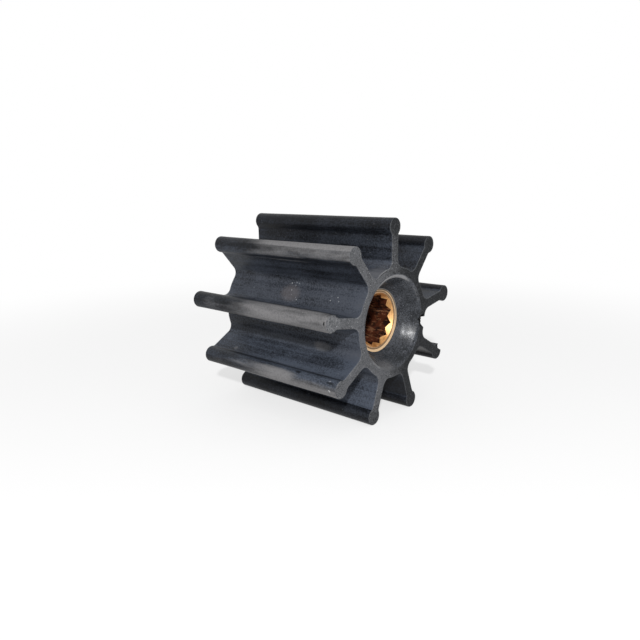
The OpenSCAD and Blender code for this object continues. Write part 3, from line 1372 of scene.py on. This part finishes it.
    def inner_profile(self) -> Array:
        """Radius and place along Y of the dish and the bore, from the front end to the back end.

        The lip is an arc, the wall and the ledge are straight, and ribs fill the insert's grooves.

        Returns:
            Array of shape (points, 2).
        """
        foot, tilt = self.wall
        front, bed = -self.half_length, -self.insert_half
        turn = np.linspace(pi / 2, pi / 2 + tilt, self.lip_steps)
        lip = np.stack([self.lip_face_radius + self.lip_radius * np.cos(turn),
                        front + self.lip_radius * (1 - np.sin(turn))], axis=1)
        wall = np.linspace(lip[-1], [foot, bed], self.wall_steps + 1)[1:]
        pitch = 2 * self.insert_half / (self.rib_count + 1)
        bore, crest = self.insert_radius, self.insert_radius - self.rib_height
        corners = [[bore, bed]]
        for middle in (-pitch, 0.0):
            low, high = middle - self.rib_half, min(middle + self.rib_half, 0.0)
            corners += [[bore, low], [crest, low], [crest, high]]
            if high < 0:
                corners.append([bore, high])
        half = np.concatenate([lip, wall, np.array(corners)])
        return np.concatenate([half, half[::-1] * [1, -1]])

    def inner_surface(self, skin: Skin, bearing: Array) -> None:
        """Turns the inner profile round Y, with its masks.

        Only the front dish is worn: across its lip, the wear and its painted highlight rise and fall as half
        a sine wave.

        Args:
            skin: The skin to add to.
            bearing: Bearings of the ring's points at the ends.
        """
        profile = self.inner_profile()
        out, along = profile[:, :1], np.repeat(profile[:, 1:], len(bearing), 1)
        turned = np.stack([out * np.cos(bearing), along, out * np.sin(bearing)], axis=-1)
        across = np.sin(np.linspace(0, pi, self.lip_steps + 1))[:self.lip_steps]
        lip = np.zeros(turned.shape[:2])
        lip[:self.lip_steps] = across[:, None] * self.wear.lip(bearing)
        moved, torn = self.worn(turned)
        dust = self.wear.wall_dust(bearing, out) * (along < 0)
        masks = {"lip": lip, "torn": torn, "dust": dust}
        skin.add(moved, WheelSurface.DISH, wrap=True, masks=masks)

    def build(self, finishes: list[Material]) -> Object:
        """Builds the wheel.

        Args:
            finishes: Materials of the moulded, the ground and the dish surfaces.

        Returns:
            The object.
        """
        skin = Skin()
        outer, masks = self.sweep()
        moved, torn = self.worn(outer)
        masks["torn"] = torn
        skin.add(moved, WheelSurface.MOULDED, wrap=True, flip=True, masks=masks)
        bearing = self.end_faces(skin, outer, True)
        self.end_faces(skin, outer, False)
        self.inner_surface(skin, bearing)
        return skin.piece("rubber_wheel", finishes, sharp_from=radians(40))


@dataclass
class SplinedInsert:
    """The brass insert: a turned sleeve with a conical rim at each end and V-shaped teeth in its bore."""

    radius: float
    half_length: float
    rim_width: float = 1.2 * MM
    rim_drop: float = 0.5 * MM
    line_width: float = 0.3 * MM
    groove_count: int = 3
    groove_half: float = 2.0 * MM
    groove_depth: float = 0.8 * MM
    tooth_count: int = 12
    tip_radius: float = 11.0 * MM
    root_radius: float = 12.2 * MM
    lead_in_radius: float = 12.8 * MM
    lead_in_angle: float = radians(38)
    spline_turn: float = radians(13.5)
    flank_steps: int = 10
    cone_steps: int = 6
    bore_steps: int = 14

    def spline(self) -> tuple[Array, Array]:
        """The bore's section: straight flanks between a valley and a tip, and back.

        Returns:
            The bearing and the radius of each point round the bore.
        """
        corner = np.arange(2 * self.tooth_count + 1)
        angle = self.spline_turn + corner * pi / self.tooth_count
        radius = np.where(corner % 2 == 0, self.root_radius, self.tip_radius)
        ends = np.stack([radius * np.cos(angle), radius * np.sin(angle)], axis=1)
        share = np.linspace(0, 1, self.flank_steps, endpoint=False)[None, :, None]
        points = (ends[:-1, None] * (1 - share) + ends[1:, None] * share).reshape(-1, 2)
        return np.arctan2(points[:, 1], points[:, 0]), np.hypot(points[:, 0], points[:, 1])

    def turned_profile(self) -> Array:
        """Radius and place along Y of the turned outside, from the middle over the rim to the lead-in.

        Returns:
            Array of shape (points, 2).
        """
        outer, floor = self.radius, self.radius - self.groove_depth
        end, foot = -self.half_length, self.radius - self.rim_width
        face = end + self.rim_drop
        pitch = 2 * self.half_length / (self.groove_count + 1)
        near, far = -pitch + self.groove_half, -pitch - self.groove_half
        grooves = [(floor, 0.0), (floor, -self.groove_half), (outer, -self.groove_half),
                   (outer, near), (floor, near), (floor, far), (outer, far)]
        rim = [(outer, end + 0.12 * MM), (outer - 0.04 * MM, end + 0.04 * MM),
               (outer - 0.12 * MM, end + 0.05 * MM), (foot, face)]
        line = [(foot - self.line_width / 2, face + self.line_width), (foot - self.line_width, face),
                (self.lead_in_radius + 0.05 * MM, face)]
        return np.array(grooves + rim + line)

    def build(self, finishes: list[Material]) -> Object:
        """Builds the insert, one half and its mirror image.

        The rows run along the turned profile, down the lead-in cone until it meets the teeth, and along
        the bore back to the middle.

        Args:
            finishes: Materials of the turned and the broached surfaces.

        Returns:
            The object.
        """
        bearing, bore = self.spline()
        profile = self.turned_profile()
        turned = profile[:, :, None] * np.ones(len(bearing))
        share = np.linspace(0, 1, self.cone_steps + 1)[:, None]
        radius = self.lead_in_radius * (1 - share) + bore * share
        depth = (self.lead_in_radius - radius) / tan(self.lead_in_angle)
        cone = np.stack([radius, profile[-1, 1] + depth], axis=1)
        step = np.linspace(0, 1, self.bore_steps + 1)[:, None]
        teeth = np.stack([np.broadcast_to(bore, (len(step), len(bore))), cone[-1, 1] * (1 - step)], axis=1)
        parts = {SleeveSurface.TURNED: np.concatenate([turned, cone]), SleeveSurface.BROACHED: teeth}
        skin = Skin()
        for side in (1, -1):
            for finish, rows in parts.items():
                out, along = rows[:, 0], side * rows[:, 1]
                grid = np.stack([out * np.cos(bearing), along, out * np.sin(bearing)], axis=-1)
                skin.add(grid, finish, wrap=True, flip=side < 0)
        return skin.piece("brass_insert", finishes, sharp_from=radians(28))


@dataclass
class Studio:
    """A pale floor, a white surround, one soft lamp, and the camera."""

    floor_level: float
    azimuth: float = radians(-47.74)
    elevation: float = radians(13.07)
    roll: float = radians(-0.915)
    distance: float = 299.9 * MM
    aim_right: float = -1.64 * MM
    aim_up: float = -4.69 * MM
    lens: float = 33.50
    sensor: float = 36.0
    clip: tuple[float, float] = (0.01, 20.0)
    lamp_azimuth: float = radians(-50)
    lamp_elevation: float = radians(28)
    lamp_distance: float = 0.8
    lamp_side: float = 0.035
    lamp_watts: float = 5.4
    ambient: float = 0.5
    floor_colour: Colour = (0.97, 0.97, 0.97, 1.0)
    floor_radius: float = 3.0
    floor_corners: int = 64
    shadow_share: float = 0.4
    fade_from: float = 0.12
    fade_to: float = 0.45

    @staticmethod
    def direction(azimuth: float, elevation: float) -> Vector:
        """Points from the wheel: azimuth 0 is in front of it, and elevation rises from the floor."""
        level = cos(elevation)
        return Vector((sin(azimuth) * level, -cos(azimuth) * level, sin(elevation)))

    def camera(self) -> None:
        """Stands the camera so that it looks at a point beside and below the wheel's centre."""
        back = self.direction(self.azimuth, self.elevation)
        level = Vector((cos(self.azimuth), sin(self.azimuth), 0))
        upward = back.cross(level)
        target = level * self.aim_right + upward * self.aim_up
        right = level * cos(self.roll) + upward * sin(self.roll)
        up = upward * cos(self.roll) - level * sin(self.roll)
        made = bpy.data.objects.new("camera", bpy.data.cameras.new("camera"))
        made.data.lens, made.data.sensor_width = self.lens, self.sensor
        made.data.clip_start, made.data.clip_end = self.clip
        turn = Matrix((right, up, back)).transposed().to_4x4()
        made.matrix_world = Matrix.Translation(target + back * self.distance) @ turn
        bpy.context.scene.collection.objects.link(made)
        bpy.context.scene.camera = made

    def lamp(self) -> None:
        """Hangs a square lamp that faces the wheel."""
        back = self.direction(self.lamp_azimuth, self.lamp_elevation)
        made = bpy.data.objects.new("key", bpy.data.lights.new("key", "AREA"))
        made.data.size, made.data.energy = self.lamp_side, self.lamp_watts
        made.location = back * self.lamp_distance
        made.rotation_mode = "QUATERNION"
        made.rotation_quaternion = back.to_track_quat("Z", "Y")
        bpy.context.scene.collection.objects.link(made)

    @staticmethod
    def seen_directly(graph: Graph) -> NodeSocket:
        """Whether the ray comes from the camera, or by way of a mirror or glass."""
        path = graph.node("ShaderNodeLightPath").outputs
        return graph.highest([path["Is Camera Ray"], path["Is Glossy Ray"], path["Is Transmission Ray"]])

    def surround(self) -> None:
        """A world that lights evenly and looks white."""
        world = bpy.data.worlds.new("surround")
        graph = Graph(emptied(world))
        lit = graph.node("ShaderNodeBackground", {"Color": WHITE, "Strength": self.ambient}).outputs[0]
        white = graph.node("ShaderNodeBackground", {"Color": WHITE, "Strength": 1.0}).outputs[0]
        both = graph.node("ShaderNodeMixShader", {0: self.seen_directly(graph), 1: lit, 2: white})
        graph.node("ShaderNodeOutputWorld", {"Surface": both.outputs[0]})
        bpy.context.scene.world = world

    def floor(self) -> None:
        """A pale disc under the wheel that keeps its shadow and turns plain white further out."""
        ring = np.linspace(0, FULL_TURN, self.floor_corners, endpoint=False)
        points = np.stack([np.cos(ring), np.sin(ring), np.zeros_like(ring)], axis=1) * self.floor_radius
        points[:, 2] = self.floor_level
        mesh = bpy.data.meshes.new("floor")
        mesh.from_pydata(points.tolist(), [], [list(range(self.floor_corners))])
        made = bpy.data.objects.new("floor", mesh)
        bpy.context.scene.collection.objects.link(made)
        material = bpy.data.materials.new("pale_floor")
        graph = Graph(emptied(material))
        away = graph.measure("LENGTH", graph.place())
        near = graph.times(graph.span(away, self.fade_to, self.fade_from), self.shadow_share)
        matt = graph.node("ShaderNodeBsdfDiffuse", {"Color": self.floor_colour}).outputs[0]
        white = graph.node("ShaderNodeEmission", {"Color": WHITE, "Strength": 1.0}).outputs[0]
        shown = graph.node("ShaderNodeMixShader", {0: near, 1: white, 2: matt}).outputs[0]
        both = graph.node("ShaderNodeMixShader", {0: self.seen_directly(graph), 1: matt, 2: shown})
        graph.node("ShaderNodeOutputMaterial", {"Surface": both.outputs[0]})
        mesh.materials.append(material)

    def build(self) -> None:
        """Sets up the whole studio."""
        self.camera()
        self.surround()
        self.floor()
        self.lamp()
        bpy.context.scene.view_settings.view_transform = "Standard"


MARKS_AND_LIGHT_POOLS = (
    SmallSpot(Mark.PIT, mm(-39.5, -20.3, -18.2), mm(1.3, 1.9, 0.6), 0.8),
    SmallSpot(Mark.PIT, mm(-40.6, -39.6, -19.0), mm(1.2, 2.8, 0.45), 0.75),
    SmallSpot(Mark.PIT, mm(-37.2, -31.0, -17.8), mm(1.2, 2.6, 0.35), 0.3),
    SmallSpot(Mark.PIT, mm(-38.6, -36.6, -17.6), mm(1.2, 2.4, 0.35), 0.6),
    SmallSpot(Mark.PIT, mm(-46.8, -42.2, 8.2), mm(1.6, 0.5, 1.2)),
    # Pale spots: the second is a painted pool of light in the shade under the middle left vane, the third
    # painted light on the hub in the gap at the top left.
    SmallSpot(Mark.PALE, mm(-34.1, 28.4, -16.9), mm(1.5, 1.8, 1.5), 0.6),
    SmallSpot(Mark.PALE, mm(-24.3, -21.1, -9.5), mm(2.5, 6.5, 3.0), 0.55),
    SmallSpot(Mark.PALE, mm(-8.8, -41.0, 24.1), mm(8.0, 8.0, 6.0), 0.4),
    SmallSpot(Mark.SMUDGE, mm(-22.5, 0.5, 12.4), mm(5.0, 8.0, 5.5), 0.5),
    SmallSpot(Mark.SPECKS, mm(-20.5, -0.6, 15.4), mm(3.5, 4.5, 2.8)),
    SmallSpot(Mark.SPECKS, mm(-23.7, -1.5, 9.8), mm(3.5, 4.5, 2.8)),
    SmallSpot(Mark.SPECKS, mm(-22.6, -27.1, 12.2), mm(3.0, 3.5, 3.0), 0.7),
    SmallSpot(Mark.SPECKS, mm(-40.0, -40.5, -20.5), mm(4.0, 3.5, 3.5), 0.7),
)

HAZES_AND_LIGHT = (
    # Pale smears with painted light in the shade under the upper left bead; painted light over the shaded
    # neck and bead of the lower left vane.
    HazeAndLight(radians(134), radians(220), 27 * MM, back=0.5, front=0.25),
    HazeAndLight(radians(207), radians(130), 36 * MM, back=0.4, front=1.0),
)

LIP_WEAR_AND_SHEEN = (
    # The lip's wear with painted highlights: the crescent at the top, the right side, and the lower left,
    # where the lip catches the light.
    LipWearAndSheen(radians(92), radians(46), 0.95),
    LipWearAndSheen(radians(34), radians(20), 0.35),
    LipWearAndSheen(radians(-128), radians(15), 0.5),
)


def scuffs_and_highlights(half: float) -> tuple[ScuffAndHighlight, ...]:
    """The pale stretches of the three beads that face the left, where the others have stayed dark: rubbed
    wear, painted highlights along the upper bead's top and the lower bead's lower edge, and painted light in
    the upper bead's neck.

    Args:
        half: Half of the wheel's length.

    Returns:
        The scuffs.
    """
    def scuff(vane: float, facing: float, spread: float, *run: float, strength: float) -> ScuffAndHighlight:
        """A scuff by its angles in degrees, and its start, stop and fade in millimetres."""
        return ScuffAndHighlight(radians(vane), radians(facing), radians(spread), *mm(*run), strength)

    before = -half / MM - 20
    upper, middle, lower = 130, 170, 210
    return (
        # Upper bead: worn, with a painted highlight along its top and painted light in its neck.
        scuff(upper, 118, 38, before, 38, 50, strength=1.0),
        scuff(upper, 104, 44, before, 12, 40, strength=0.9),
        scuff(upper, 165, 64, before, 38, 40, strength=0.48),
        scuff(upper, 200, 34, -20, 32, 16, strength=0.4),
        scuff(middle, 180, 120, before, 42, 9, strength=0.25),
        scuff(middle, 180, 120, before, 42, 54, strength=0.62),
        scuff(lower, 185, 75, -27, 30, 44, strength=0.8),
        scuff(lower, 205, 70, before, 43, 12, strength=0.34),
        scuff(lower, 215, 50, before, 26, 44, strength=0.58),
        # Lower bead: painted highlights along its lower edge.
        scuff(lower, 236, 30, before, 22, 36, strength=1.0),
        scuff(lower, 242, 22, before, 40, 12, strength=1.0),
    )


def tears(section: VaneSection) -> tuple[Tear, ...]:
    """The nick in the hub's front edge, with a large and a small side, and the chip in a bead.

    Args:
        section: The wheel's section.

    Returns:
        The tears.
    """
    def at(radius: float, bearing: float, start: tuple[float, float] = (0.0, 0.0)) -> tuple[float, float]:
        """A point at that distance and bearing, in degrees, from another."""
        return start[0] + radius * cos(radians(bearing)), start[1] + radius * sin(radians(bearing))

    hub, bead = section.hub_radius, at(section.bead_circle, -30)
    return (
        Tear(at(hub - 1.8 * MM, -7.5), 3.0 * MM, 2.6 * MM),
        Tear(at(hub, -12.0), 1.3 * MM, 1.3 * MM),
        Tear(at(section.bead_radius, 38, bead), 2.3 * MM, 2.6 * MM),
    )


def main() -> None:
    """Loads the frame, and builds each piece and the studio."""
    logging.basicConfig(level=logging.INFO, format="%(message)s")
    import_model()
    effects = Effects()
    body_low, body_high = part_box("rubber_body")
    _, insert_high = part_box("splined_insert")

    section = VaneSection(tip_radius=body_high.z)
    rubber = [MouldedRubber(marks_and_light_pools=MARKS_AND_LIGHT_POOLS), GroundRubber(), DishRubber()]
    wear = Weathering(tears(section), scuffs_and_highlights(body_high.y), HAZES_AND_LIGHT, LIP_WEAR_AND_SHEEN)
    body = RubberBody(section, body_high.y, insert_high.z, insert_high.y, wear)
    wheel = body.build([finish.material(effects) for finish in rubber])
    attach(wheel, "root")
    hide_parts("rubber_body")
    log.info("rubber wheel: %d faces", len(wheel.data.polygons))

    brass = [TurnedBrass(), BroachedBrass()]
    sleeve = SplinedInsert(insert_high.z, insert_high.y)
    insert = sleeve.build([finish.material(effects) for finish in brass])
    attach(insert, "root")
    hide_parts("splined_insert")
    log.info("brass insert: %d faces", len(insert.data.polygons))

    Studio(floor_level=body_low.z).build()
    log.info("studio: camera, lamp and floor")


if __name__ == "__main__":
    main()
